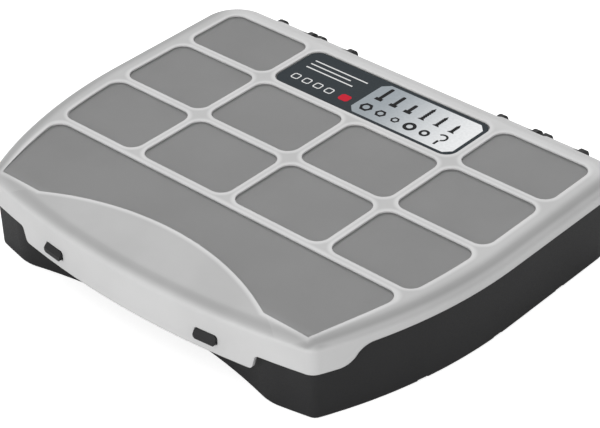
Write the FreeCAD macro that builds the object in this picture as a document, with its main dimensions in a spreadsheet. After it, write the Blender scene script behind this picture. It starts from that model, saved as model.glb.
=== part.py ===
import FreeCAD, Part
import math
import os
import Sketcher

# Compartment organizer box: a black tray under a translucent hinged lid.
# Millimetres. X runs along the hinge, the hinge is at the back (+Y), Z is up.
# The origin is under the middle of the box, on the surface that it stands on.

SIZES = {
    # Outline of the closed box, seen from above
    "lid_width": 250.0,
    "lid_depth": 199.2,
    "overall_height": 42.0,
    "back_corner_radius": 19.0,
    "side_straight_length": 85.3,
    "side_bow_radius": 228.0,
    "front_bow_radius": 450.0,
    "front_corner_radius": 7.0,
    # Lid shell
    "lid_plate": 1.8,
    "lid_rim_wall": 1.7,
    "edge_slope_width": 5.0,
    "edge_slope_drop": 2.4,
    "slope_top_radius": 8.0,
    "slope_low_radius": 3.0,
    "side_rim_depth": 8.0,
    "corner_rim_depth": 16.6,
    "rim_wave_start": 22.0,
    "rim_wave_length": 16.0,
    "skirt_depth": 24.4,
    "skirt_half_width": 73.2,
    "skirt_end_slant": 2.2,
    "skirt_end_radius": 2.2,
    "apron_length": 43.8,
    "apron_radius": 395.0,
    # Panes in the top of the lid
    "pane_recess": 1.0,
    "pane_thickness": 1.5,
    "pane_side_margin": 12.2,
    "pane_side_radius": 284.0,
    "pane_back_margin": 11.1,
    "pane_corner_radius": 6.5,
    "middle_pane_width": 54.2,
    "bar_width": 4.2,
    "back_row_depth": 34.5,
    "middle_row_depth": 40.2,
    "front_row_depth": 40.0,
    "arc_step_setback": 32.8,
    "arc_step_radius": 152.0,
    "pane_front_margin": 4.0,
    "pad_front_margin": 18.75,
    # Label
    "label_thickness": 0.3,
    "label_clearance": 0.6,
    # Tray
    "rim_clearance": 0.3,
    "tray_wall": 1.8,
    "tray_floor": 1.6,
    "bottom_edge_radius": 1.5,
    "row_wall": 2.0,
    "lid_headroom": 0.3,
    "under_groove_width": 6.0,
    "under_groove_depth": 1.3,
    "grip_setback": 18.7,
    "grip_radius": 300.0,
    "grip_corner_radius": 24.0,
    "rail_height": 18.5,
    "rail_half_width": 67.0,
    "rail_web": 2.0,
    # Catch lugs and their slots
    "lug_offset": 47.7,
    "lug_width": 11.7,
    "lug_height": 4.6,
    "lug_proud": 1.8,
    "lug_drop": 17.0,
    "lug_corner": 0.9,
    "slot_clearance": 0.3,
    # Hinge
    "hinge_setback": 3.9,
    "hinge_drop": 9.2,
    "ear_radius": 4.4,
    "ear_thickness": 2.8,
    "ear_gusset": 9.0,
    "ear_gap": 3.1,
    "tongue_bay": 17.9,
    "inner_ear_offset": 47.8,
    "ear_clearance": 0.4,
    "barrel_radius": 3.0,
    "tongue_reach": 2.6,
    "tongue_fall": 4.2,
    "pin_radius": 1.7,
    "pin_clearance": 0.06,
    "pin_reach": 2.4,
    # Removable cross dividers and the ribs that hold them
    "divider_thickness": 1.5,
    "divider_clearance": 0.3,
    "divider_corner": 3.0,
    "rib_width": 1.2,
    "rib_proud": 1.3,
    "rib_drop": 1.4,
}

# How far pieces of one moulding reach into each other
OVERLAP = 0.4

doc = FreeCAD.newDocument("organizer_box")
sheet = doc.addObject("Spreadsheet::Sheet", "sizes")
for row, (alias, value) in enumerate(SIZES.items(), start=1):
    sheet.set(f"A{row}", alias)
    sheet.set(f"B{row}", str(value))
    sheet.setAlias(f"B{row}", alias)
doc.recompute()


def size(alias):
    """Value of one cell of the sheet."""
    return float(getattr(sheet, alias))


def bind(item, prop, expression):
    """Tie a property to the sheet: every word that names a cell is read from it."""
    words = sorted(SIZES, key=len, reverse=True)
    text = expression
    for number, word in enumerate(words):
        text = text.replace(word, f"<<{number}>>")
    for number, word in enumerate(words):
        text = text.replace(f"<<{number}>>", f"sizes.{word}")
    item.setExpression(prop, text)


# Places worked out from the sizes
HEIGHT = size("overall_height")
HALF_WIDTH = size("lid_width") / 2
OVERALL_DEPTH = size("lid_depth") + size("hinge_setback") + size("ear_radius")
FRONT = -OVERALL_DEPTH / 2
BACK = FRONT + size("lid_depth")
BOW_START = BACK - size("side_straight_length")
AXIS_Y = BACK + size("hinge_setback")
AXIS_Z = HEIGHT - size("hinge_drop")
TRAY_INSET = size("lid_rim_wall") + size("rim_clearance")
INNER_INSET = TRAY_INSET + size("tray_wall")
CAVITY_SLOPE_WIDTH = size("edge_slope_width") - size("lid_rim_wall") / 2
CAVITY_SLOPE_DROP = size("edge_slope_drop")
WALL_TOP = HEIGHT - size("lid_plate") - CAVITY_SLOPE_DROP - size("lid_headroom")
ROW_TOP = HEIGHT - size("lid_plate") - size("lid_headroom")
PANE_FLOOR = HEIGHT - size("pane_recess")
PANE_UNDER = PANE_FLOOR - size("pane_thickness")
MIDDLE_COLUMN_EDGE = size("middle_pane_width") + size("bar_width") / 2

# Front edges of the rows of panes and the middles of the bars between them, from the back
ROWS = []
edge = BACK - size("pane_back_margin")
for name, alias in (("back", "back_row_depth"), ("middle", "middle_row_depth"),
                    ("front", "front_row_depth")):
    near = edge - size(alias)
    ROWS.append({"name": name, "alias": alias, "far": edge, "near": near,
                 "bar": near - size("bar_width") / 2})
    edge = near - size("bar_width")
LONG_PANE_FAR = edge
COLUMN_PITCH = MIDDLE_COLUMN_EDGE + size("bar_width") / 2
COLUMN_BARS = [-COLUMN_PITCH, 0.0, COLUMN_PITCH]


def place(item, x=0.0, y=0.0, z=0.0, axis=(0, 0, 1), angle=0.0):
    """Set the place of an object, turned about one axis."""
    turn = FreeCAD.Rotation(FreeCAD.Vector(*axis), angle)
    item.Placement = FreeCAD.Placement(FreeCAD.Vector(x, y, z), turn)
    return item


def box(name, x, y, z, length, width, height):
    """Box from its low corner. Sizes are cell expressions or plain numbers."""
    item = doc.addObject("Part::Box", name)
    for prop, value in (("Length", length), ("Width", width), ("Height", height)):
        if isinstance(value, str):
            bind(item, prop, value)
        else:
            setattr(item, prop, value)
    return place(item, x, y, z)


def upright_cylinder(name, x, y, z, radius, height):
    """Cylinder standing along Z."""
    item = doc.addObject("Part::Cylinder", name)
    bind(item, "Radius", radius)
    item.Height = height
    return place(item, x, y, z)


def cross_cylinder(name, x, y, z, radius, length):
    """Cylinder lying along X."""
    item = doc.addObject("Part::Cylinder", name)
    bind(item, "Radius", radius)
    if isinstance(length, str):
        bind(item, "Height", length)
    else:
        item.Height = length
    return place(item, x, y, z, (0, 1, 0), 90)


def cut(name, base, tool):
    """First shape less the second."""
    item = doc.addObject("Part::Cut", name)
    item.Base = base
    item.Tool = tool
    return item


def common(name, first, second):
    """What two shapes share."""
    item = doc.addObject("Part::Common", name)
    item.Base = first
    item.Tool = second
    return item


def fuse(name, shapes):
    """One shape from several."""
    item = doc.addObject("Part::MultiFuse", name)
    item.Shapes = shapes
    return item


def raise_sketch(name, sketch, z, height):
    """Closed sketch in the XY plane, raised from z by a height."""
    item = doc.addObject("Part::Extrusion", name)
    item.Base = sketch
    item.DirMode = "Custom"
    item.Dir = FreeCAD.Vector(0, 0, 1)
    item.Solid = True
    if isinstance(height, str):
        bind(item, "LengthFwd", height)
    else:
        item.LengthFwd = height
    return place(item, 0, 0, z)


def draw_outline(sketch, points):
    """Closed outline of straight lines. A third number rounds that corner with a tangent arc."""
    count = len(points)
    corners = []
    for number in range(count):
        here = FreeCAD.Vector(points[number][0], points[number][1], 0)
        before = FreeCAD.Vector(*points[number - 1][:2], 0)
        after = FreeCAD.Vector(*points[(number + 1) % count][:2], 0)
        radius = points[number][2] if len(points[number]) > 2 else 0.0
        to_before = (before - here).normalize()
        to_after = (after - here).normalize()
        if radius == 0.0:
            corners.append((here, here, None))
            continue
        half = to_before.getAngle(to_after) / 2
        reach = radius / math.tan(half)
        middle = here + (to_before + to_after).normalize() * (radius / math.sin(half))
        mid_arc = middle + (here - middle).normalize() * radius
        corners.append((here + to_before * reach, here + to_after * reach, mid_arc))
    for number in range(count):
        start, end, mid_arc = corners[number]
        if mid_arc is not None:
            sketch.addGeometry(Part.Arc(start, mid_arc, end), False)
        follow = corners[(number + 1) % count][0]
        sketch.addGeometry(Part.LineSegment(end, follow), False)


def prism(name, points, x, y, z, axis, length):
    """Closed outline drawn out along X (points are y, z) or along Y (points are x, z)."""
    sketch = doc.addObject("Sketcher::SketchObject", name + "_outline")
    if axis == "X":
        turn = FreeCAD.Rotation(FreeCAD.Vector(1, 1, 1), 120)
        way = FreeCAD.Vector(1, 0, 0)
    else:
        turn = FreeCAD.Rotation(FreeCAD.Vector(1, 0, 0), 90)
        way = FreeCAD.Vector(0, 1, 0)
    sketch.Placement = FreeCAD.Placement(FreeCAD.Vector(0, 0, 0), turn)
    draw_outline(sketch, points)
    item = doc.addObject("Part::Extrusion", name)
    item.Base = sketch
    item.DirMode = "Custom"
    item.Dir = way
    item.Solid = True
    if isinstance(length, str):
        bind(item, "LengthFwd", length)
    else:
        item.LengthFwd = length
    return place(item, x, y, z)


def outline_sketch(name, inset):
    """Plan of the closed box, moved in by an inset: straight back and sides, bowed front half.

    All arcs keep the centres of the outer outline, so two insets run parallel.
    """
    shift = size_of(inset)
    back_r = size("back_corner_radius") - shift
    side_r = size("side_bow_radius") - shift
    front_r = size("front_bow_radius") - shift
    corner_r = size("front_corner_radius") - shift
    back_c = (HALF_WIDTH - size("back_corner_radius"), BACK - size("back_corner_radius"))
    side_c = (HALF_WIDTH - size("side_bow_radius"), BOW_START)
    front_c = (0.0, FRONT + size("front_bow_radius"))
    side_in = size("side_bow_radius") - size("front_corner_radius")
    front_in = size("front_bow_radius") - size("front_corner_radius")
    corner_c = circle_crossing(side_c, side_in, front_c, front_in)
    side_a = math.atan2(corner_c[1] - side_c[1], corner_c[0] - side_c[0])
    front_a = math.atan2(corner_c[1] - front_c[1], corner_c[0] - front_c[0])
    rounded = corner_r > 0.2
    if not rounded:
        tip = circle_crossing(side_c, side_r, front_c, front_r)
        side_a = math.atan2(tip[1] - side_c[1], tip[0] - side_c[0])
        front_a = math.atan2(tip[1] - front_c[1], tip[0] - front_c[0])
    sketch = doc.addObject("Sketcher::SketchObject", name)

    def arc(centre, radius, start, end):
        circle = Part.Circle(FreeCAD.Vector(*centre, 0), FreeCAD.Vector(0, 0, 1), radius)
        return sketch.addGeometry(Part.ArcOfCircle(circle, start, end), False)

    def line(start, end):
        segment = Part.LineSegment(FreeCAD.Vector(*start, 0), FreeCAD.Vector(*end, 0))
        return sketch.addGeometry(segment, False)

    half_turn = math.pi
    top = BACK - shift
    side = HALF_WIDTH - shift
    right = []
    right.append(arc(back_c, back_r, 0, half_turn / 2))
    right.append(line((side, back_c[1]), (side, BOW_START)))
    right.append(arc(side_c, side_r, side_a, 0))
    if rounded:
        right.append(arc(corner_c, corner_r, front_a, side_a))
    left = []
    left.append(arc((-back_c[0], back_c[1]), back_r, half_turn / 2, half_turn))
    left.append(line((-side, back_c[1]), (-side, BOW_START)))
    left.append(arc((-side_c[0], side_c[1]), side_r, half_turn, half_turn - side_a))
    if rounded:
        left.append(arc((-corner_c[0], corner_c[1]), corner_r,
                        half_turn - side_a, half_turn - front_a))
    front = arc(front_c, front_r, -half_turn - front_a, front_a)
    back = line((-back_c[0], top), (back_c[0], top))

    # Joints between neighbours, then the sizes
    add = sketch.addConstraint
    add(Sketcher.Constraint("Tangent", back, 2, right[0], 2))
    add(Sketcher.Constraint("Tangent", right[0], 1, right[1], 1))
    add(Sketcher.Constraint("Tangent", right[1], 2, right[2], 2))
    add(Sketcher.Constraint("Tangent", back, 1, left[0], 1))
    add(Sketcher.Constraint("Tangent", left[0], 2, left[1], 1))
    add(Sketcher.Constraint("Tangent", left[1], 2, left[2], 1))
    if rounded:
        add(Sketcher.Constraint("Tangent", right[2], 1, right[3], 2))
        add(Sketcher.Constraint("Tangent", right[3], 1, front, 2))
        add(Sketcher.Constraint("Tangent", left[2], 2, left[3], 1))
        add(Sketcher.Constraint("Tangent", left[3], 2, front, 1))
    else:
        add(Sketcher.Constraint("Coincident", right[2], 1, front, 2))
        add(Sketcher.Constraint("Coincident", left[2], 2, front, 1))

    def sized(kind, alias, expression, *where):
        number = add(Sketcher.Constraint(kind, *where))
        sketch.renameConstraint(number, alias)
        bind(sketch, "Constraints." + alias, expression)

    add(Sketcher.Constraint("Symmetric", back, 1, back, 2, -2))
    add(Sketcher.Constraint("PointOnObject", front, 3, -2))
    sized("Distance", "back_line", "lid_width - 2 * back_corner_radius", back,
          HALF_WIDTH * 2 - 2 * size("back_corner_radius"))
    sized("Radius", "back_round_right", "back_corner_radius - " + inset, right[0], back_r)
    sized("Radius", "back_round_left", "back_corner_radius - " + inset, left[0], back_r)
    depth = "(lid_depth + hinge_setback + ear_radius) / 2"
    sized("DistanceY", "back_place", f"lid_depth - {depth} - {inset}", -1, 1, back, 1, top)
    straight = size("side_straight_length") - size("back_corner_radius")
    sized("Distance", "straight_right", "side_straight_length - back_corner_radius",
          right[1], straight)
    sized("Distance", "straight_left", "side_straight_length - back_corner_radius",
          left[1], straight)
    sized("Radius", "bow_right", "side_bow_radius - " + inset, right[2], side_r)
    sized("Radius", "bow_left", "side_bow_radius - " + inset, left[2], side_r)
    if rounded:
        sized("Radius", "corner_right", "front_corner_radius - " + inset, right[3], corner_r)
        sized("Radius", "corner_left", "front_corner_radius - " + inset, left[3], corner_r)
    sized("Radius", "front_bow", "front_bow_radius - " + inset, front, front_r)
    sized("DistanceY", "front_place", f"front_bow_radius - {depth}", -1, 1, front, 3, front_c[1])
    return sketch


def size_of(expression):
    """Number behind a cell expression that adds and takes away cells and numbers."""
    total = 0.0
    sign = 1.0
    for word in expression.replace("(", " ").replace(")", " ").split():
        if word in "+-":
            sign = 1.0 if word == "+" else -1.0
        elif word in SIZES:
            total += sign * size(word)
        else:
            total += sign * float(word)
    return total


def circle_crossing(first, first_r, second, second_r):
    """Lower right crossing of two circles."""
    dx = second[0] - first[0]
    dy = second[1] - first[1]
    gap = math.hypot(dx, dy)
    along = (gap ** 2 + first_r ** 2 - second_r ** 2) / (2 * gap)
    aside = math.sqrt(first_r ** 2 - along ** 2)
    ux = dx / gap
    uy = dy / gap
    one = (first[0] + along * ux + aside * uy, first[1] + along * uy - aside * ux)
    two = (first[0] + along * ux - aside * uy, first[1] + along * uy + aside * ux)
    return one if one[1] < two[1] else two


def edge_numbers(item, wanted):
    """Numbers of the edges of an object that pass a test."""
    doc.recompute()
    return [number for number, edge in enumerate(item.Shape.Edges, start=1) if wanted(edge)]


def round_edges(name, base, wanted, alias):
    """Round the chosen edges by one size of the sheet."""
    item = doc.addObject("Part::Fillet", name)
    item.Base = base
    radius = size(alias)
    item.Edges = [(number, radius, radius) for number in edge_numbers(base, wanted)]
    return item


def slope_edges(name, base, wanted, drop, width):
    """Cut the chosen top edges back by a width, down to a drop."""
    item = doc.addObject("Part::Chamfer", name)
    item.Base = base
    item.Edges = [(number, drop, width) for number in edge_numbers(base, wanted)]
    return item


def apron_cutter(name, lowered):
    """What lies above the curved apron along the front, at some depth under the lid's skin."""
    down = size_of(lowered)
    start = FRONT + size("apron_length")
    block = box(name + "_block", -HALF_WIDTH - 10, FRONT - 10, HEIGHT - down - 8,
                "lid_width + 20", "apron_length + 10", 30.0)
    roll = cross_cylinder(name + "_roll", -HALF_WIDTH - 20, start,
                          HEIGHT - size("apron_radius"), "apron_radius - " + lowered,
                          "lid_width + 40")
    return cut(name, block, roll)


def on_top_outline(top):
    """Test for the outer edges of a top face, which leaves out its fold at the apron."""
    def wanted(edge):
        limits = edge.BoundBox
        across = limits.YLength < 0.01
        fold = across and abs(limits.YMin - (FRONT + size("apron_length"))) < 0.1
        return limits.ZMin > top - 6 and limits.ZMax < top + 0.01 and not fold \
            and limits.XLength + limits.YLength > 0.5
    return wanted


def slope_roundings(sloped):
    """Radii for the two long edges of the lid's slope: a soft one above, a tighter one below."""
    doc.recompute()
    fold = FRONT + size("apron_length")
    roundings = []
    for number, edge in enumerate(sloped.Shape.Edges, start=1):
        faces = sloped.Shape.ancestorsOfType(edge, Part.Face)
        limits = edge.BoundBox
        across = limits.YLength < 0.01 and abs(limits.YMin - fold) < 0.1
        if len(faces) != 2 or across or limits.ZMax < HEIGHT - 6:
            continue
        upward = []
        for face in faces:
            spot = edge.valueAt((edge.FirstParameter + edge.LastParameter) / 2)
            upward.append(face.normalAt(*face.Surface.parameter(spot)).z)
        upward.sort()
        if upward[1] > 0.97 and 0.5 < upward[0] < 0.97:
            roundings.append((number, size("slope_top_radius"), size("slope_top_radius")))
        elif 0.5 < upward[1] < 0.97 and abs(upward[0]) < 0.1:
            roundings.append((number, size("slope_low_radius"), size("slope_low_radius")))
    return roundings


# Lid: plate, sloped edges, rim and skirt
def build_lid_shell():
    plan = outline_sketch("lid_plan", "0")
    block = raise_sketch("lid_block", plan, HEIGHT - size("skirt_depth"), "skirt_depth")
    skin = cut("lid_skin", block, apron_cutter("lid_apron", "0"))
    sloped = slope_edges("lid_sloped", skin, on_top_outline(HEIGHT),
                         size("edge_slope_drop"), size("edge_slope_width"))
    outside = doc.addObject("Part::Fillet", "lid_outside")
    outside.Base = sloped
    outside.Edges = slope_roundings(sloped)
    inner_plan = outline_sketch("lid_inner_plan", "lid_rim_wall")
    ceiling = HEIGHT - size("lid_plate")
    hollow = raise_sketch("lid_hollow", inner_plan, HEIGHT - size("skirt_depth") - 1,
                          "skirt_depth + 1 - lid_plate")
    hollow_skin = cut("lid_hollow_skin", hollow, apron_cutter("lid_ceiling", "lid_plate"))
    inside = slope_edges("lid_inside", hollow_skin, on_top_outline(ceiling),
                         CAVITY_SLOPE_DROP, CAVITY_SLOPE_WIDTH)
    return cut("lid_shell", outside, inside)


def rim_cutters():
    """What is cut away under the rim: a wave along each side and a step at each skirt end."""
    low = HEIGHT - size("skirt_depth") - 2
    side_low = HEIGHT - size("side_rim_depth")
    corner_low = HEIGHT - size("corner_rim_depth")
    start = FRONT + size("rim_wave_start")
    end = start + size("rim_wave_length")
    rise = side_low - corner_low
    bend = (size("rim_wave_length") ** 2 + rise ** 2) / (4 * rise)
    sketch = doc.addObject("Sketcher::SketchObject", "rim_wave_outline")
    turn = FreeCAD.Rotation(FreeCAD.Vector(1, 1, 1), 120)
    sketch.Placement = FreeCAD.Placement(FreeCAD.Vector(0, 0, 0), turn)
    half = math.asin(size("rim_wave_length") / 2 / bend)

    def on_circle(y, z, angle):
        return FreeCAD.Vector(y + bend * math.cos(angle), z + bend * math.sin(angle), 0)

    up = math.pi / 2
    hollow_y, hollow_z = start, corner_low + bend
    crown_y, crown_z = end, side_low - bend
    first = [on_circle(hollow_y, hollow_z, -up + half * part) for part in (0, 0.5, 1)]
    second = [on_circle(crown_y, crown_z, up + half * part) for part in (1, 0.5, 0)]
    far = BACK + 15
    sketch.addGeometry(Part.Arc(*first), False)
    sketch.addGeometry(Part.Arc(*second), False)
    path = [second[2], FreeCAD.Vector(far, side_low, 0), FreeCAD.Vector(far, low, 0),
            FreeCAD.Vector(start, low, 0), first[0]]
    for number in range(len(path) - 1):
        sketch.addGeometry(Part.LineSegment(path[number], path[number + 1]), False)
    wave = doc.addObject("Part::Extrusion", "rim_wave")
    wave.Base = sketch
    wave.DirMode = "Custom"
    wave.Dir = FreeCAD.Vector(1, 0, 0)
    wave.Solid = True
    bind(wave, "LengthFwd", "lid_width + 20")
    place(wave, -HALF_WIDTH - 10)
    cutters = [wave]
    outer = HALF_WIDTH + 10
    top = size("skirt_half_width")
    bottom = top - size("skirt_end_slant")
    skirt_low = HEIGHT - size("skirt_depth")
    under = bottom - 3 * size("skirt_end_radius")
    for side in (-1, 1):
        points = [(side * top, corner_low, size("skirt_end_radius")),
                  (side * outer, corner_low),
                  (side * outer, low),
                  (side * under, low),
                  (side * under, skirt_low),
                  (side * bottom, skirt_low, size("skirt_end_radius"))]
        step = prism("rim_step_left" if side < 0 else "rim_step_right", points,
                     0, FRONT - 10, 0, "Y", "rim_wave_start + 10.5")
        cutters.append(step)
    return cutters


# Panes: recesses in the top of the lid, with a pad under each
def pane_cells(name, z, height, front):
    """Solids of the panes between two levels. The long one in front ends at a given line."""
    side = HALF_WIDTH - size("pane_side_margin")
    back = ROWS[0]["far"]
    bow_r = size("pane_side_radius")
    centre = side - bow_r
    low_angle = -math.asin((BOW_START - front) / bow_r)
    mid_angle = low_angle / 2
    sketch = doc.addObject("Sketcher::SketchObject", name + "_field")

    def bow(side_sign, angle):
        return FreeCAD.Vector(side_sign * (centre + bow_r * math.cos(angle)),
                              BOW_START + bow_r * math.sin(angle), 0)

    corner = FreeCAD.Vector(side, back, 0)
    other = FreeCAD.Vector(-side, back, 0)
    sketch.addGeometry(Part.LineSegment(other, corner), False)
    sketch.addGeometry(Part.LineSegment(corner, bow(1, 0)), False)
    sketch.addGeometry(Part.Arc(bow(1, 0), bow(1, mid_angle), bow(1, low_angle)), False)
    sketch.addGeometry(Part.LineSegment(bow(1, low_angle), bow(-1, low_angle)), False)
    sketch.addGeometry(Part.Arc(bow(-1, low_angle), bow(-1, mid_angle), bow(-1, 0)), False)
    sketch.addGeometry(Part.LineSegment(bow(-1, 0), other), False)
    field = raise_sketch(name + "_field_block", sketch, z, height)
    column = MIDDLE_COLUMN_EDGE
    first = column + size("bar_width")
    half_bar = size("bar_width") / 2
    blocks = []
    for row in ROWS:
        spans = [(-HALF_WIDTH, -first), (first, HALF_WIDTH)]
        if row["name"] == "back":
            spans.append((-column, column))
        else:
            spans += [(-column, -half_bar), (half_bar, column)]
        for number, (low, high) in enumerate(spans):
            blocks.append(box(f"{name}_{row['name']}_{number}", low, row["near"], z,
                              high - low, row["alias"], height))
    blocks.append(box(name + "_long", -HALF_WIDTH, front, z,
                      "lid_width", LONG_PANE_FAR - front, height))
    grid = fuse(name + "_grid", blocks)
    sharp = common(name + "_sharp", field, grid)
    arc_y = FRONT + size("arc_step_setback") - size("arc_step_radius")
    arc = upright_cylinder(name + "_arc", 0, arc_y, z - 1, "arc_step_radius", height + 2)
    return cut(name + "_cut", sharp, arc)


def pane_corner(edge):
    """Upright edges of the panes, apart from the ends of the long one in front."""
    limits = edge.BoundBox
    upright = limits.XLength < 0.01 and limits.YLength < 0.01
    return upright and limits.YMin > FRONT + size("arc_step_setback") + 1


# Hinge: ears in pairs on the tray, and a tongue of the lid between the ears of a pair
EAR_STEP = size("tongue_bay") + size("ear_thickness")
TONGUE_BAYS = []
bay_start = size("inner_ear_offset") + size("ear_thickness") / 2
for bay in range(2):
    TONGUE_BAYS.append(bay_start)
    TONGUE_BAYS.append(-bay_start - size("tongue_bay"))
    bay_start += EAR_STEP + size("ear_gap") + size("ear_thickness")
EAR_STARTS = []
for start in TONGUE_BAYS:
    EAR_STARTS.append(start - size("ear_thickness"))
    EAR_STARTS.append(start + size("tongue_bay"))
EAR_TOP = AXIS_Z + size("ear_radius")


def ear_notches():
    """Cuts through the lid's back rim, one round each ear."""
    notches = []
    for number, start in enumerate(EAR_STARTS):
        notches.append(box(f"ear_notch_{number}", start - size("slot_clearance"), BACK - 4,
                           HEIGHT - size("side_rim_depth") - 5,
                           "ear_thickness + 2 * slot_clearance", 8.0,
                           EAR_TOP + size("ear_clearance") - HEIGHT
                           + size("side_rim_depth") + 5))
    return notches


def tongue(number, start):
    """Arm of the lid that carries a hinge barrel with a pin at both ends."""
    slope = size("edge_slope_drop") / size("edge_slope_width")
    root = size("edge_slope_width") / 2
    start_z = HEIGHT - size("edge_slope_drop") + root * slope - 0.1
    tip = (BACK + size("tongue_reach"), HEIGHT - size("tongue_fall"))
    lean = math.radians(55)
    touch = (AXIS_Y + size("barrel_radius") * math.cos(lean),
             AXIS_Z + size("barrel_radius") * math.sin(lean))
    profile = [(BACK - root, start_z), tip, touch, (AXIS_Y, AXIS_Z), (BACK - 0.5, AXIS_Z),
               (BACK - 0.5, tip[1] - 1), (BACK - root, start_z - 1.8)]
    low = start + size("ear_clearance")
    width = "tongue_bay - 2 * ear_clearance"
    arm = prism(f"tongue_arm_{number}", profile, low, 0, 0, "X", width)
    barrel = cross_cylinder(f"barrel_{number}", low, AXIS_Y, AXIS_Z, "barrel_radius", width)
    pin = cross_cylinder(f"pin_{number}", low - size("pin_reach"), AXIS_Y, AXIS_Z,
                         "pin_radius", width + " + 2 * pin_reach")
    return [arm, barrel, pin]


def ear(number, start):
    """Round ear on the tray's back wall, with a web and a gusset down the wall."""
    wall = BACK - TRAY_INSET - 0.8
    disc = cross_cylinder(f"ear_disc_{number}", start, AXIS_Y, AXIS_Z,
                          "ear_radius", "ear_thickness")
    foot = AXIS_Z - size("ear_radius")
    profile = [(wall, EAR_TOP), (AXIS_Y, EAR_TOP), (AXIS_Y, foot),
               (wall, foot - size("ear_gusset"))]
    web = prism(f"ear_web_{number}", profile, start, 0, 0, "X", "ear_thickness")
    return [disc, web]


# Catches: a lug on the tray on either side, and a slot in the skirt round it
SIDES = {"left": -1, "right": 1}
LUG_MIDDLE = HEIGHT - size("lug_drop")


def square_to_front(item, side):
    """Turn a piece drawn at the middle of the bowed front to the lug's place on it."""
    radius = size("front_bow_radius")
    angle = side * math.degrees(math.asin(size("lug_offset") / radius))
    turn = FreeCAD.Rotation(FreeCAD.Vector(0, 0, 1), angle)
    centre = FreeCAD.Vector(0, FRONT + radius, LUG_MIDDLE)
    reach = turn.multVec(FreeCAD.Vector(0, -radius, 0))
    item.Placement = FreeCAD.Placement(centre + reach, turn)
    return item


def lug_outline(grown):
    """Front view of a lug about its middle, with its corners cut, grown all round."""
    half = size("lug_width") / 2 + grown
    high = size("lug_height") / 2 + grown
    corner = size("lug_corner")
    return [(-half + corner, -high), (half - corner, -high), (half, -high + corner),
            (half, high - corner), (half - corner, high), (-half + corner, high),
            (-half, high - corner), (-half, -high + corner)]


def front_plug(name, side, grown, length):
    """Lug's front view, drawn from before the skirt towards the tray."""
    item = prism(name, lug_outline(grown), 0, 0, 0, "Y", length)
    square_to_front(item, side)
    out = item.Placement.Rotation.multVec(FreeCAD.Vector(0, -size("lug_proud"), 0))
    item.Placement.Base = item.Placement.Base + out
    return item


def catch_slots():
    """Openings in the skirt, larger than the lugs by a clearance all round."""
    length = size("lug_proud") + TRAY_INSET - size("rim_clearance") / 2
    return [front_plug("catch_slot_" + word, side, size("slot_clearance"), length)
            for word, side in SIDES.items()]


def catch_lug(word, side):
    """Wedge lug: its upper side slopes so that the skirt rides over it when closing."""
    length = size("lug_proud") + TRAY_INSET + size("tray_wall") / 2
    plug = front_plug("lug_block_" + word, side, 0.0, length)
    high = size("lug_height") / 2
    proud = -size("lug_proud")
    profile = [(proud, -high), (length, -high), (length, high), (0.0, high),
               (proud, high - size("lug_height") / 2)]
    wedge = prism("lug_wedge_" + word, profile, 0, 0, 0, "X", "lug_width")
    square_to_front(wedge, side)
    aside = wedge.Placement.Rotation.multVec(FreeCAD.Vector(-size("lug_width") / 2, 0, 0))
    wedge.Placement.Base = wedge.Placement.Base + aside
    return common("lug_" + word, plug, wedge)


# Lid
cells = pane_cells("pane", PANE_FLOOR, size("pane_recess") + 1,
                   FRONT + size("pane_front_margin"))
recess = round_edges("pane_recesses", cells, pane_corner, "pane_corner_radius")
pads = pane_cells("pad", PANE_UNDER, size("pane_thickness") - OVERLAP,
                  FRONT + size("pad_front_margin"))
pane_pads = round_edges("pane_pads", pads, pane_corner, "pane_corner_radius")
tongues = []
for number, start in enumerate(TONGUE_BAYS):
    tongues += tongue(number, start)
lid_body = cut("lid_body", build_lid_shell(), fuse("rim_cuts", rim_cutters()))
lid_full = fuse("lid_full", [lid_body, pane_pads] + tongues)
lid_openings = fuse("lid_openings", [recess] + ear_notches() + catch_slots())
lid = cut("lid", lid_full, lid_openings)

# Tray: walls and floor
tray_plan = outline_sketch("tray_plan", "(lid_rim_wall + rim_clearance)")
tray_block = raise_sketch("tray_block", tray_plan, 0, WALL_TOP)
grip_y = FRONT + size("grip_setback") - size("grip_radius")
grip = upright_cylinder("grip_recess", 0, grip_y, -1, "grip_radius", WALL_TOP + 3)
tray_notched = cut("tray_notched", tray_block, grip)


def recess_corner(edge):
    """Upright edges where the finger recess meets the bowed front."""
    limits = edge.BoundBox
    upright = limits.XLength < 0.01 and limits.YLength < 0.01
    return upright and abs(limits.XMin) < 0.7 * HALF_WIDTH


def bottom_edge(edge):
    """Edges round the underside."""
    return edge.BoundBox.ZMax < 0.01


tray_eased = round_edges("tray_eased", tray_notched, recess_corner, "grip_corner_radius")
tray_outside = round_edges("tray_outside", tray_eased, bottom_edge, "bottom_edge_radius")
inner_plan = outline_sketch("tray_inner_plan", "(lid_rim_wall + rim_clearance + tray_wall)")
hollow = raise_sketch("tray_hollow", inner_plan, size("tray_floor"),
                      WALL_TOP - size("tray_floor") + 1)
grip_skin = upright_cylinder("grip_skin", 0, grip_y, -1, "grip_radius + tray_wall",
                             WALL_TOP + 3)
inside = cut("tray_inside", hollow, grip_skin)
tray_shell = cut("tray_shell", tray_outside, inside)

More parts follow.
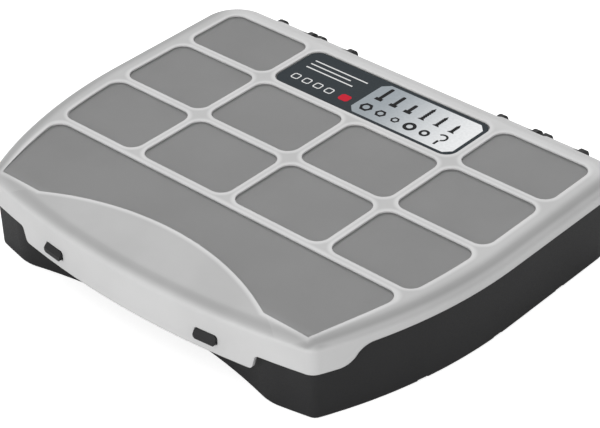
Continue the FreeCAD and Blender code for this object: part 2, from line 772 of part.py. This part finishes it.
# Rail across the finger recess, behind the skirt: it stands on webs and carries the lugs
RAIL_LOW = WALL_TOP - size("rail_height")
RAIL_HALF = size("rail_half_width")
rail_front = raise_sketch("rail_front", tray_plan, RAIL_LOW, "rail_height")
rail_behind = raise_sketch("rail_behind", inner_plan, RAIL_LOW - 1, "rail_height + 2")
rail_ring = cut("rail_ring", rail_front, rail_behind)
rail_span = box("rail_span", -RAIL_HALF, FRONT - 5, RAIL_LOW,
                "2 * rail_half_width", 20.0, "rail_height")
rail = common("rail", rail_ring, rail_span)
webs = []
web_places = [RAIL_HALF - size("rail_web") / 2, size("lug_offset"), size("lug_offset") / 3]
for number, offset in enumerate(web_places):
    bow = size("front_bow_radius") - TRAY_INSET - size("tray_wall") / 2
    start = FRONT + size("front_bow_radius") - math.sqrt(bow ** 2 - offset ** 2)
    skin = size("grip_radius") + size("tray_wall") / 2
    end = grip_y + math.sqrt(skin ** 2 - offset ** 2)
    for word, side in SIDES.items():
        webs.append(box(f"rail_web_{word}_{number}", side * offset - size("rail_web") / 2,
                        start, RAIL_LOW, "rail_web", end - start, "rail_height"))

# Raised feet across the floor, each over a groove in the underside
mid_wall_plan = outline_sketch("mid_wall_plan", "(lid_rim_wall + rim_clearance + 1)")
mid_wall = raise_sketch("mid_wall", mid_wall_plan, 0.5, WALL_TOP - 0.5)
FOOT_WIDTH = size("under_groove_width") + 2 * size("tray_floor")
FOOT_HEIGHT = size("under_groove_depth") + size("tray_floor")
foot_bars = []
grooves = []
for row in ROWS:
    foot_bars.append(box("row_foot_" + row["name"], -HALF_WIDTH,
                         row["bar"] - FOOT_WIDTH / 2, 0,
                         "lid_width", "under_groove_width + 2 * tray_floor",
                         "under_groove_depth + tray_floor"))
    grooves.append(box("under_groove_" + row["name"], -HALF_WIDTH,
                       row["bar"] - size("under_groove_width") / 2, -1,
                       "lid_width", "under_groove_width", "under_groove_depth + 1"))
feet = common("row_feet", fuse("row_foot_set", foot_bars), mid_wall)

# Ribs in pairs, which hold a divider at every half column
SLOT_HALF = size("divider_thickness") / 2 + size("divider_clearance")
BACK_FACE = BACK - INNER_INSET
DIVIDER_STEP = COLUMN_PITCH / 2
RIB_TOP = WALL_TOP - size("rib_drop")


def rib_line(name, low_y, low_z):
    """Pairs of ribs along one face, up from a level."""
    ribs = []
    for step in range(-3, 4):
        for word, side in SIDES.items():
            middle = step * DIVIDER_STEP + side * (SLOT_HALF + size("rib_width") / 2)
            ribs.append(box(f"rib_{name}_{step + 3}_{word}", middle - size("rib_width") / 2,
                            low_y, low_z, "rib_width", size("rib_proud") + OVERLAP,
                            RIB_TOP - low_z))
    return ribs


back_ribs = rib_line("wall", BACK_FACE - size("rib_proud"), size("tray_floor") - OVERLAP)

# Walls between the rows: each stands on its foot and reaches from side wall to side wall
under_slope_plan = outline_sketch("under_slope_plan", "(edge_slope_width + 1.5)")
under_slope = raise_sketch("under_slope", under_slope_plan, WALL_TOP - 1,
                           ROW_TOP - WALL_TOP + 2)
row_ends = []
row_walls = []
far_face = BACK_FACE
for number, row in enumerate(ROWS):
    name = row["name"]
    near_face = row["bar"] + size("row_wall") / 2
    row_ends.append((name, far_face, near_face))
    far_face = row["bar"] - size("row_wall") / 2
    plate = common("row_plate_" + name,
                   box("row_slab_" + name, -HALF_WIDTH, far_face, FOOT_HEIGHT,
                       "lid_width", "row_wall", WALL_TOP - FOOT_HEIGHT), inside)
    crest = common("row_crest_" + name,
                   box("row_ridge_" + name, -HALF_WIDTH, far_face, WALL_TOP - 0.5,
                       "lid_width", "row_wall", ROW_TOP - WALL_TOP + 0.5), under_slope)
    pieces = [plate, crest] + rib_line(name + "_far", near_face - OVERLAP, FOOT_HEIGHT)
    if number < len(ROWS) - 1:
        pieces += rib_line(name + "_near", far_face - size("rib_proud"), FOOT_HEIGHT)
    row_walls.append(fuse("row_wall_" + name, pieces))

# Tray: all of it, then the grooves, the bores and the fall towards the front
ears = []
bores = []
for number, start in enumerate(EAR_STARTS):
    ears += ear(number, start)
    bores.append(cross_cylinder(f"ear_bore_{number}", start - 0.5, AXIS_Y, AXIS_Z,
                                "pin_radius + pin_clearance", "ear_thickness + 1"))
tray_full = fuse("tray_full", [tray_shell, feet] + back_ribs + ears)
tray_fall = apron_cutter("tray_fall", "(lid_plate + edge_slope_drop + lid_headroom)")
tray_final_cuts = fuse("tray_final_cuts", grooves + bores + [tray_fall])
tray_whole = cut("tray_whole", tray_full, tray_final_cuts)

# Bays of the tray: the moulding is parted under its row walls and behind the finger recess
RECESS_EDGE = grip_y + size("grip_radius") + size("tray_wall") + OVERLAP
BAY_EDGES = [BACK + 20] + [row["bar"] for row in ROWS] + [RECESS_EDGE, FRONT - 10]
bays = []
for number, name in enumerate(("back", "middle", "front", "long", "nose")):
    low_y = BAY_EDGES[number + 1]
    slab = box("bay_slab_" + name, -HALF_WIDTH - 10, low_y, -5,
               "lid_width + 20", BAY_EDGES[number] - low_y, "overall_height + 10")
    bays.append(common("tray_bay_" + name, tray_whole, slab))

# Rail with its webs and lugs: the webs end on the curved wall of the recess
lugs = [catch_lug(word, side) for word, side in SIDES.items()]
rail_full = fuse("rail_full", [rail] + webs + lugs)
rail_trimmed = common("rail_trimmed", rail_full, grip)
front_rail = cut("front_rail", rail_trimmed, tray_fall)

# Removable dividers, one under each bar between the columns
NOTCH = FOOT_WIDTH / 2 - size("row_wall") / 2 + size("divider_clearance")
NOTCH_TOP = FOOT_HEIGHT + size("divider_clearance")
DIVIDER_TOP = PANE_UNDER - size("lid_headroom")
dividers = []
for name, far, near in row_ends:
    back_end = far - size("divider_clearance")
    front_end = near + size("divider_clearance")
    floor = size("tray_floor")
    corner = size("divider_corner")
    profile = [(front_end + NOTCH, floor), (back_end - NOTCH, floor),
               (back_end - NOTCH, NOTCH_TOP), (back_end, NOTCH_TOP),
               (back_end, DIVIDER_TOP, corner), (front_end, DIVIDER_TOP, corner),
               (front_end, NOTCH_TOP), (front_end + NOTCH, NOTCH_TOP)]
    for number, middle in enumerate(COLUMN_BARS, start=1):
        low_x = middle - size("divider_thickness") / 2
        dividers.append(prism(f"divider_{name}_{number}", profile, low_x, 0, 0, "X",
                              "divider_thickness"))

# Label card in the double pane
card_y = ROWS[0]["near"] + size("label_clearance")
card_x = -MIDDLE_COLUMN_EDGE + size("label_clearance")
card_block = box("label_block", card_x, card_y, PANE_FLOOR,
                 "2 * middle_pane_width + bar_width - 2 * label_clearance",
                 "back_row_depth - 2 * label_clearance", "label_thickness")


def card_corner(edge):
    """Upright edges of the card."""
    return edge.BoundBox.ZLength > size("label_thickness") - 0.01


card = doc.addObject("Part::Fillet", "label_card")
card.Base = card_block
card_round = size("pane_corner_radius") - size("label_clearance")
card.Edges = [(number, card_round, card_round)
              for number in edge_numbers(card_block, card_corner)]

# Checks of every object, then one file for each sub-part
NODES = bays + [front_rail, lid, card] + row_walls + dividers
doc.recompute()
for item in doc.Objects:
    if "Invalid" in item.State or "Error" in item.State:
        raise RuntimeError(f"{item.Name}: {item.State}")
os.makedirs("parts", exist_ok=True)
for item in NODES:
    item.Label = item.Name
    if item.Shape.isNull() or not item.Shape.isValid() or len(item.Shape.Solids) != 1:
        raise RuntimeError(f"{item.Name}: not one valid solid")
    item.Shape.exportStep(f"parts/{item.Name}.step")
    limits = item.Shape.BoundBox
    print(item.Name, round(item.Shape.Volume), [round(number, 2) for number in (
        limits.XMin, limits.XMax, limits.YMin, limits.YMax, limits.ZMin, limits.ZMax)])
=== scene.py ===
import math

import bpy
from mathutils import Matrix, Vector


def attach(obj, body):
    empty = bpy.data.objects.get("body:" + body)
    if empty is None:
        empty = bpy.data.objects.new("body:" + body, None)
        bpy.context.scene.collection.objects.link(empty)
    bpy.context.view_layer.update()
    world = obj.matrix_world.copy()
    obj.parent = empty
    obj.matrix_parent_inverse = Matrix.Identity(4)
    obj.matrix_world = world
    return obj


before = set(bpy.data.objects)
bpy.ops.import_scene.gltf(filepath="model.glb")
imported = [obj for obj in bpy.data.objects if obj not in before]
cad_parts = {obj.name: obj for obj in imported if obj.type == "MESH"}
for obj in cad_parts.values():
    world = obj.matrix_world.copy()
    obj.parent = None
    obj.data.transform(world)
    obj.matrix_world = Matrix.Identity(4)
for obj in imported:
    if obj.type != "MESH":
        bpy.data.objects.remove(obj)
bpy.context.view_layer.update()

scene = bpy.context.scene
scene.view_settings.view_transform = "Standard"

# Sizes in metres that the looks share with the solids
MM = 0.001
PANE_FLOOR = 41.0 * MM
PANE_UNDER = 39.5 * MM
APRON_LINE = -88.1 * MM
ARC_CENTRE_Y = -222.95 * MM
ARC_RADIUS = 152.0 * MM
LID_HALF_WIDTH = 125.0 * MM
SIDE_BOW_RADIUS = 228.0 * MM
SIDE_BOW_START = 10.15 * MM
FRONT_BOW_RADIUS = 450.0 * MM
FRONT_BOW_CENTRE = 346.25 * MM
TOP_ZONE_LOW = 37.1 * MM
TOP_ZONE_HIGH = 39.4 * MM
PANE_SIDE = 112.8 * MM
PANE_BOW_RADIUS = 284.0 * MM
PANE_CORNER = 6.5 * MM
COLUMN_EDGE = 56.3 * MM
BAR_WIDTH = 4.2 * MM
PANE_ROWS = ((49.85 * MM, 84.35 * MM), (5.45 * MM, 45.65 * MM), (-38.75 * MM, 1.25 * MM),
             (APRON_LINE, -42.95 * MM))

# Sizes of the card in millimetres, and how far the two layers of print lie above it
CARD_TOP = 41.3
CARD_LEFT = -55.7
CARD_FRONT = 50.45
CARD_WIDTH = 111.4
CARD_DEPTH = 33.3
GROUND_LIFT = 0.03
PICTURE_LIFT = 0.08
PRINT_HALF_THICKNESS = 0.02
PANEL_LEFT = 47.0

# Greys between which each part of the lid's plastic drifts; the paler tones of the sides and of
# the pane edges are painted light, and the darker tone of the front apron is painted shade
LID_TONES = {"frame": (0.50, 0.54), "apron": (0.46, 0.50), "rim": (0.61, 0.65),
             "edge_highlight": (0.66, 0.70), "pane": (0.36, 0.39)}
# Painted shade: how dark the soft band along the lid's sloped edge is
RIM_SHADE = 0.72
PRINT_SPECULAR = 0.12


def grey(value):
    """Neutral colour."""
    return (value, value, value, 1)


# Material helper
class Shader:
    """Material whose nodes are added one call at a time."""

    def __init__(self, name):
        self.material = bpy.data.materials.new(name)
        self.material.use_nodes = True
        self.nodes = self.material.node_tree.nodes
        self.links = self.material.node_tree.links
        self.surface = self.nodes["Principled BSDF"]
        self.output = self.nodes["Material Output"]

    def node(self, kind, **settings):
        made = self.nodes.new(kind)
        for key, value in settings.items():
            setattr(made, key, value)
        return made

    def link(self, source, target):
        self.links.new(source, target)

    def feed(self, value, socket):
        """Give a socket a number, a colour or another socket."""
        if isinstance(value, bpy.types.NodeSocket):
            self.link(value, socket)
        else:
            socket.default_value = value

    def set(self, socket, value):
        """Feed one socket of the surface."""
        self.feed(value, self.surface.inputs[socket])

    def position(self):
        return self.node("ShaderNodeTexCoord").outputs["Object"]

    def axes(self):
        split = self.node("ShaderNodeSeparateXYZ")
        self.link(self.position(), split.inputs[0])
        return split.outputs

    def math(self, operation, first, second=0.0):
        made = self.node("ShaderNodeMath", operation=operation)
        self.feed(first, made.inputs[0])
        self.feed(second, made.inputs[1])
        return made.outputs[0]

    def ramp(self, value, low, high, first=0.0, last=1.0):
        """Smooth step of a value from one number to another."""
        made = self.node("ShaderNodeMapRange", interpolation_type="SMOOTHSTEP")
        self.feed(value, made.inputs["Value"])
        self.feed(low, made.inputs["From Min"])
        self.feed(high, made.inputs["From Max"])
        self.feed(first, made.inputs["To Min"])
        self.feed(last, made.inputs["To Max"])
        return made.outputs["Result"]

    def noise(self, scale, detail=2.0, roughness=0.5):
        made = self.node("ShaderNodeTexNoise")
        self.link(self.position(), made.inputs["Vector"])
        made.inputs["Scale"].default_value = scale
        made.inputs["Detail"].default_value = detail
        made.inputs["Roughness"].default_value = roughness
        return made.outputs["Fac"]

    def spread(self, noise, first=0.0, last=1.0):
        """The middle of a noise's range, spread from one number to another."""
        return self.ramp(noise, 0.3, 0.7, first, last)

    def mix(self, amount, first, second, blend="MIX"):
        made = self.node("ShaderNodeMix", data_type="RGBA", blend_type=blend)
        self.feed(amount, made.inputs[0])
        self.feed(first, made.inputs[6])
        self.feed(second, made.inputs[7])
        return made.outputs[2]

    def bump(self, height, strength, distance, edge_radius=0.0):
        """Fine relief, over edges that are softened where a radius is given."""
        made = self.node("ShaderNodeBump")
        made.inputs["Strength"].default_value = strength
        made.inputs["Distance"].default_value = distance
        self.link(height, made.inputs["Height"])
        if edge_radius > 0.0:
            soft = self.node("ShaderNodeBevel", samples=6)
            soft.inputs["Radius"].default_value = edge_radius
            self.link(soft.outputs["Normal"], made.inputs["Normal"])
        self.link(made.outputs["Normal"], self.surface.inputs["Normal"])

    def length(self, first, second):
        """Distance from two offsets at right angles."""
        squares = self.math("ADD", self.math("MULTIPLY", first, first),
                            self.math("MULTIPLY", second, second))
        return self.math("SQRT", squares)

    def bow_reach(self, split, shift):
        """Distance from the middle of a side's bow, which runs on straight behind its start."""
        across = self.math("ADD", self.math("ABSOLUTE", split["X"]), shift)
        past_start = self.math("SUBTRACT", split["Y"], SIDE_BOW_START)
        return self.length(across, self.math("MINIMUM", past_start, 0.0))

    def uneven_band(self, value, middle, below, above):
        """Soft stripe round a value: 1 at its middle, 0 at a reach below and above it."""
        rise = self.ramp(value, middle - below, middle)
        fall = self.ramp(value, middle, middle + above, 1.0, 0.0)
        return self.math("MULTIPLY", rise, fall)

    def outside_corner(self, sideways, lengthways, corner):
        """Distance outside two edges that meet in a rounded corner, from the way past each."""
        ways = [self.math("MAXIMUM", self.math("ADD", way, corner), 0.0)
                for way in (sideways, lengthways)]
        return self.math("SUBTRACT", self.length(*ways), corner)


# Black moulded plastic of the tray and the dividers: fine spark texture
def black_plastic():
    shader = Shader("black_moulded_plastic")
    cloud = shader.noise(scale=24.0, detail=3.0)
    grain = shader.noise(scale=2600.0, roughness=0.6)
    shader.set("Base Color", shader.mix(shader.spread(cloud), (0.0085, 0.0085, 0.0092, 1),
                                        (0.0125, 0.0125, 0.0133, 1)))
    shader.set("Roughness", shader.spread(grain, 0.46, 0.6))
    shader.set("Specular IOR Level", 0.38)
    shader.bump(grain, strength=0.35, distance=0.06 * MM)
    return shader.material


def past_panes(shader, split, reach):
    """Distance from the nearest pane, seen from above: less than 0 inside one."""
    across = shader.math("ABSOLUTE", split["X"])
    bow = shader.bow_reach(split, PANE_BOW_RADIUS - PANE_SIDE)
    past_side = shader.math("SUBTRACT", bow, PANE_BOW_RADIUS)
    before_outer = shader.math("SUBTRACT", COLUMN_EDGE + BAR_WIDTH, across)
    outer = shader.math("MAXIMUM", before_outer, past_side)
    past_inner = shader.math("SUBTRACT", across, COLUMN_EDGE)
    before_inner = shader.math("SUBTRACT", BAR_WIDTH / 2, across)
    inner = shader.math("MAXIMUM", before_inner, past_inner)
    columns = ((past_inner, outer), (inner, outer), (inner, outer), (past_side,))
    nearest = 1.0
    for (near, far), sideways in zip(PANE_ROWS, columns):
        before = shader.math("SUBTRACT", near, split["Y"])
        lengthways = shader.math("SUBTRACT", split["Y"], far)
        # The long pane in front keeps sharp corners at its front edge
        if near != APRON_LINE:
            lengthways = shader.math("MAXIMUM", before, lengthways)
        for column in sideways:
            away = shader.outside_corner(column, lengthways, PANE_CORNER)
            away = shader.math("MAXIMUM", away, before)
            nearest = shader.math("MINIMUM", away, nearest)
    return shader.math("MAXIMUM", nearest, shader.math("SUBTRACT", ARC_RADIUS, reach))


def pane_level(shader, height):
    """1 at the height of a pane's face or of the underside of its pad, 0 elsewhere."""
    not_above = shader.ramp(height, PANE_FLOOR + 0.15 * MM, PANE_FLOOR + 0.45 * MM, 1.0, 0.0)
    not_below = shader.math("GREATER_THAN", height, PANE_FLOOR - 0.2 * MM)
    depth = shader.math("ABSOLUTE", shader.math("SUBTRACT", height, PANE_UNDER))
    under = shader.math("LESS_THAN", depth, 0.05 * MM)
    return shader.math("MAXIMUM", shader.math("MULTIPLY", not_above, not_below), under)


# Frosted plastic of the lid: milky frame, greyer and clearer panes
def frosted_plastic():
    shader = Shader("frosted_lid_plastic")
    split = shader.axes()
    reach = shader.length(split["X"], shader.math("SUBTRACT", split["Y"], ARC_CENTRE_Y))
    outside_arc = shader.ramp(reach, ARC_RADIUS - 0.1 * MM, ARC_RADIUS + 0.1 * MM)
    past = past_panes(shader, split, reach)
    inside_pane = shader.ramp(past, 0.0, 0.3 * MM, 1.0, 0.0)
    pane = shader.math("MULTIPLY", pane_level(shader, split["Z"]), inside_pane)
    top_zone = shader.ramp(split["Z"], TOP_ZONE_LOW, TOP_ZONE_HIGH)
    # Painted shade: the sloping apron inside the front arc takes a darker tone than the frame
    apron = shader.math("MULTIPLY", shader.math("SUBTRACT", 1.0, outside_arc), top_zone)

    # Painted shade: a soft darker band along the lid's sloped edge, standing in for the slope's
    # shading and for the black tray's top edge seen through the milky plastic
    side_reach = shader.bow_reach(split, SIDE_BOW_RADIUS - LID_HALF_WIDTH)
    from_side = shader.math("SUBTRACT", SIDE_BOW_RADIUS, side_reach)
    front_reach = shader.length(split["X"],
                                shader.math("SUBTRACT", split["Y"], FRONT_BOW_CENTRE))
    from_front = shader.math("SUBTRACT", FRONT_BOW_RADIUS, front_reach)
    side_shade = shader.uneven_band(from_side, middle=3.0 * MM, below=2.3 * MM, above=6.0 * MM)
    front_shade = shader.uneven_band(from_front, middle=4.0 * MM, below=3.4 * MM, above=4.6 * MM)
    half_front_shade = shader.math("MULTIPLY", front_shade, 0.5)
    band = shader.math("MULTIPLY", shader.math("MAXIMUM", side_shade, half_front_shade), top_zone)
    band_shade = shader.mix(band, grey(1), grey(RIM_SHADE))

    # Painted highlight: the frame is paler round every pane, where its rounded edges would
    # catch the light
    edge_highlight = shader.math("MULTIPLY", shader.ramp(past, 0.7 * MM, 3.0 * MM, 1.0, 0.0), top_zone)

    cloud = shader.noise(scale=30.0, detail=3.0)
    grain = shader.noise(scale=1800.0)
    drift = shader.spread(cloud)
    tone = {name: shader.mix(drift, grey(first), grey(last))
            for name, (first, last) in LID_TONES.items()}
    # Painted light: the top turns to the paler lit tone towards the back, and the sides below
    # the top take that paler lit tone too
    back = shader.ramp(split["Y"], 75.0 * MM, 90.0 * MM)
    top_tone = shader.mix(apron, shader.mix(back, tone["frame"], tone["rim"]), tone["apron"])
    top_tone = shader.mix(top_zone, tone["rim"], top_tone)
    highlight_tone = shader.mix(edge_highlight, top_tone, tone["edge_highlight"])
    shell_tone = shader.mix(1.0, highlight_tone, band_shade, "MULTIPLY")
    shader.set("Base Color", shader.mix(pane, shell_tone, tone["pane"]))
    shader.set("Transmission Weight", shader.ramp(pane, 0.0, 1.0, 0.05, 0.6))
    shader.set("Roughness", shader.spread(grain, 0.30, 0.36))
    shader.set("IOR", 1.49)
    shader.bump(grain, strength=0.12, distance=0.03 * MM, edge_radius=0.7 * MM)
    return shader.material


# Printed card: slate ground with a dull coat
def slate_print():
    shader = Shader("slate_print")
    fleck = shader.noise(scale=900.0)
    shader.set("Base Color", shader.mix(shader.spread(fleck), (0.026, 0.034, 0.040, 1),
                                        (0.034, 0.043, 0.050, 1)))
    shader.set("Roughness", shader.spread(fleck, 0.58, 0.66))
    shader.set("Specular IOR Level", PRINT_SPECULAR)
    return shader.material


black = black_plastic()
finishes = {"lid": frosted_plastic(), "label_card": slate_print()}
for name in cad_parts:
    for slot in bpy.data.objects[name].material_slots:
        slot.material = finishes.get(name, black)


# Print on the card: flat shapes laid on its face, in millimetres from its front left corner
def print_ink(name, first, last):
    """Printed colour that drifts across the card between two tones."""
    shader = Shader(name)
    fleck = shader.noise(scale=700.0)
    across = shader.ramp(shader.axes()["X"], -5.0 * MM, 56.0 * MM)
    tone = shader.mix(across, first, last)
    shade = shader.mix(shader.spread(fleck), grey(0.93), grey(1))
    shader.set("Base Color", shader.mix(1.0, tone, shade, "MULTIPLY"))
    shader.set("Roughness", shader.spread(fleck, 0.58, 0.66))
    shader.set("Specular IOR Level", PRINT_SPECULAR)
    return shader.material


def flat_print(name, outlines, lift, material):
    """Thin flat piece from closed outlines on the card: an outline inside another is a hole."""
    curve = bpy.data.curves.new(name, "CURVE")
    curve.dimensions = "2D"
    curve.fill_mode = "BOTH"
    curve.extrude = PRINT_HALF_THICKNESS * MM
    for points in outlines:
        spline = curve.splines.new("POLY")
        spline.points.add(len(points) - 1)
        spline.use_cyclic_u = True
        for spot, (x, y) in zip(spline.points, points):
            spot.co = ((CARD_LEFT + x) * MM, (CARD_FRONT + y) * MM, 0, 1)
    drawn = bpy.data.objects.new(name + "_curve", curve)
    scene.collection.objects.link(drawn)
    bpy.context.view_layer.update()
    mesh = bpy.data.meshes.new_from_object(drawn.evaluated_get(
        bpy.context.evaluated_depsgraph_get()))
    bpy.data.objects.remove(drawn)
    mesh.name = name
    mesh.transform(Matrix.Translation((0, 0, (CARD_TOP + lift) * MM)))
    mesh.materials.clear()
    mesh.materials.append(material)
    piece = bpy.data.objects.new(name, mesh)
    scene.collection.objects.link(piece)
    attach(piece, "lid_body")


def ring(x, y, radius, sides=32):
    """Regular outline round a middle."""
    return [(x + radius * math.cos(2 * math.pi * step / sides),
             y + radius * math.sin(2 * math.pi * step / sides)) for step in range(sides)]


def block(x, y, width, depth, corner=0.0):
    """Rectangle from its low corner, with cut corners where a size is given."""
    if corner == 0.0:
        return [(x, y), (x + width, y), (x + width, y + depth), (x, y + depth)]
    return [(x + corner, y), (x + width - corner, y), (x + width, y + corner),
            (x + width, y + depth - corner), (x + width - corner, y + depth),
            (x + corner, y + depth), (x, y + depth - corner), (x, y + corner)]


def bolt(x, y, length):
    """Side view of a bolt that points up the card."""
    shank = 1.0
    head = 2.1
    neck = y + 2.2
    end = neck + length
    tip = end + 0.6
    return [(x - shank, neck), (x - shank, end), (x - shank * 0.6, tip), (x + shank * 0.6, tip),
            (x + shank, end), (x + shank, neck), (x + head, neck), (x + head, y),
            (x - head, y), (x - head, neck)]


def screw(x, y, length):
    """Side view of a countersunk screw with its thread as a row of teeth."""
    neck = y + 1.5
    right = [(x + 2.0, y), (x + 0.8, neck)]
    teeth = 6
    for step in range(teeth):
        level = neck + length * step / teeth
        right.append((x + 1.15, level + length * 0.3 / teeth))
        right.append((x + 0.7, level + length * 0.8 / teeth))
    tip = [(x, y + 3.0 + length)]
    left = [(2 * x - across, up) for across, up in reversed(right)]
    return right + tip + left


def hook(x, y):
    """Cup hook: an open ring on a stem."""
    middle = y + 6.6
    outer = [(x + 3.0 * math.cos(angle), middle + 3.0 * math.sin(angle))
             for angle in [math.radians(step) for step in range(-90, 151, 12)]]
    inner = [(x + 1.9 * math.cos(angle), middle + 1.9 * math.sin(angle))
             for angle in [math.radians(step) for step in range(150, -79, -12)]]
    return outer + inner + [(x + 0.6, y + 4.6), (x + 0.6, y), (x - 0.6, y), (x - 0.6, y + 3.7)]


def build_panel():
    """Pale panel at the right with small hardware in two lines."""
    pale = print_ink("pale_ink", (0.36, 0.40, 0.43, 1), (0.92, 0.93, 0.94, 1))
    dark = print_ink("dark_ink", (0.008, 0.008, 0.009, 1), (0.014, 0.014, 0.015, 1))
    margin = 2.0
    flat_print("label_panel", [block(PANEL_LEFT, margin, CARD_WIDTH - PANEL_LEFT - margin,
                                     CARD_DEPTH - 2 * margin, 3.5)], GROUND_LIFT, pale)
    places = [PANEL_LEFT + 6.5 + 9.0 * number for number in range(6)]
    upper_line = 17.0
    lower_line = 9.0
    pictures = {}
    for number, length in enumerate((9.5, 7.5, 5.5)):
        pictures[f"bolt_{number}"] = [bolt(places[number], upper_line, length)]
    for number, length in enumerate((9.0, 7.0, 5.0)):
        pictures[f"screw_{number}"] = [screw(places[number + 3], upper_line, length)]
    for number, radius in enumerate((3.6, 3.0, 2.4)):
        pictures[f"nut_{number}"] = [ring(places[number], lower_line, radius, 6),
                                     ring(places[number], lower_line, radius * 0.5)]
    for number, radius in enumerate((3.4, 2.7)):
        pictures[f"washer_{number}"] = [ring(places[number + 3], lower_line, radius),
                                        ring(places[number + 3], lower_line, radius * 0.48)]
    pictures["hook"] = [hook(places[5], 4.6)]
    for name, outlines in pictures.items():
        flat_print("label_" + name, outlines, PICTURE_LIFT, dark)


def build_marks():
    """Rules, square marks and a tab at the left."""
    white = print_ink("white_ink", grey(0.84), grey(0.90))
    red = print_ink("red_ink", (0.62, 0.008, 0.03, 1), (0.68, 0.012, 0.04, 1))
    left = 6.0
    for number, length in enumerate((34.0, 26.0, 30.0)):
        flat_print(f"label_rule_{number}", [block(left, 25.2 - 3.4 * number, length, 0.8)],
                   GROUND_LIFT, white)
    for number in range(4):
        x = left + 7.2 * number
        flat_print(f"label_mark_{number}",
                   [block(x, 6.5, 4.6, 4.6, 0.8), block(x + 0.6, 7.1, 3.4, 3.4, 0.5)],
                   GROUND_LIFT, white)
    flat_print("label_tab", [block(37.0, 6.2, 6.0, 5.2, 1.0)], GROUND_LIFT, red)


build_panel()
build_marks()


# Floor that stays near white and keeps a shadow
def studio_floor():
    mesh = bpy.data.meshes.new("floor")
    reach = 6.0
    mesh.from_pydata([(-reach, -reach, 0), (reach, -reach, 0), (reach, reach, 0),
                      (-reach, reach, 0)], [], [(0, 1, 2, 3)])
    floor = bpy.data.objects.new("floor", mesh)
    scene.collection.objects.link(floor)
    shader = Shader("floor_paper")
    shader.set("Base Color", grey(0.80))
    shader.set("Roughness", 0.9)
    path = shader.node("ShaderNodeLightPath")
    glow = shader.node("ShaderNodeEmission")
    glow.inputs["Color"].default_value = grey(1)
    glow.inputs["Strength"].default_value = 0.70
    add = shader.node("ShaderNodeAddShader")
    shader.link(shader.surface.outputs[0], add.inputs[0])
    shader.link(glow.outputs[0], add.inputs[1])
    swap = shader.node("ShaderNodeMixShader")
    shader.link(path.outputs["Is Camera Ray"], swap.inputs[0])
    shader.link(shader.surface.outputs[0], swap.inputs[1])
    shader.link(add.outputs[0], swap.inputs[2])
    shader.link(swap.outputs[0], shader.output.inputs["Surface"])
    mesh.materials.append(shader.material)


# Even white room, a little brighter where the camera sees it than where it lights the box
def studio_world():
    world = bpy.data.worlds.new("studio")
    scene.world = world
    world.use_nodes = True
    nodes = world.node_tree.nodes
    links = world.node_tree.links
    room = nodes["Background"]
    seen = nodes.new("ShaderNodeBackground")
    for background, strength in ((room, 0.72), (seen, 1.0)):
        background.inputs["Color"].default_value = grey(1)
        background.inputs["Strength"].default_value = strength
    path = nodes.new("ShaderNodeLightPath")
    mix = nodes.new("ShaderNodeMixShader")
    links.new(path.outputs["Is Camera Ray"], mix.inputs[0])
    links.new(room.outputs[0], mix.inputs[1])
    links.new(seen.outputs[0], mix.inputs[2])
    links.new(mix.outputs[0], nodes["World Output"].inputs["Surface"])


def area_light(name, place, width, height, power):
    """Soft lamp that looks at the middle of the box."""
    lamp = bpy.data.lights.new(name, "AREA")
    lamp.shape = "RECTANGLE"
    lamp.size = width
    lamp.size_y = height
    lamp.energy = power
    obj = bpy.data.objects.new(name, lamp)
    scene.collection.objects.link(obj)
    obj.location = place
    obj.rotation_mode = "QUATERNION"
    middle = Vector((0.0, 0.0, 0.02))
    obj.rotation_quaternion = (Vector(place) - middle).to_track_quat("Z", "Y")


studio_floor()
studio_world()
area_light("soft_key", (-0.75, 0.85, 1.25), width=1.0, height=1.0, power=5.0)
area_light("soft_front", (0.25, -1.7, 0.55), width=1.6, height=0.9, power=12.0)

# Camera at the photograph's place, with its right, down and forward directions
CAMERA_RIGHT = (0.73558, 0.67655, -0.03470)
CAMERA_DOWN = (0.36741, -0.44146, -0.81861)
CAMERA_AHEAD = (-0.56915, 0.58940, -0.57331)
CAMERA_PLACE = (0.56893, -0.58048, 0.58053)
FOCAL_PIXELS = 2121.9
PICTURE_WIDTH = 600
camera_data = bpy.data.cameras.new("camera")
camera_data.sensor_width = 36.0
camera_data.lens = FOCAL_PIXELS / PICTURE_WIDTH * camera_data.sensor_width
camera_data.clip_start = 0.05
camera_data.clip_end = 20.0
camera = bpy.data.objects.new("camera", camera_data)
scene.collection.objects.link(camera)
axes = Matrix((Vector(CAMERA_RIGHT), -Vector(CAMERA_DOWN), -Vector(CAMERA_AHEAD))).transposed()
camera.rotation_mode = "QUATERNION"
camera.rotation_quaternion = axes.to_quaternion()
camera.location = CAMERA_PLACE
scene.camera = camera
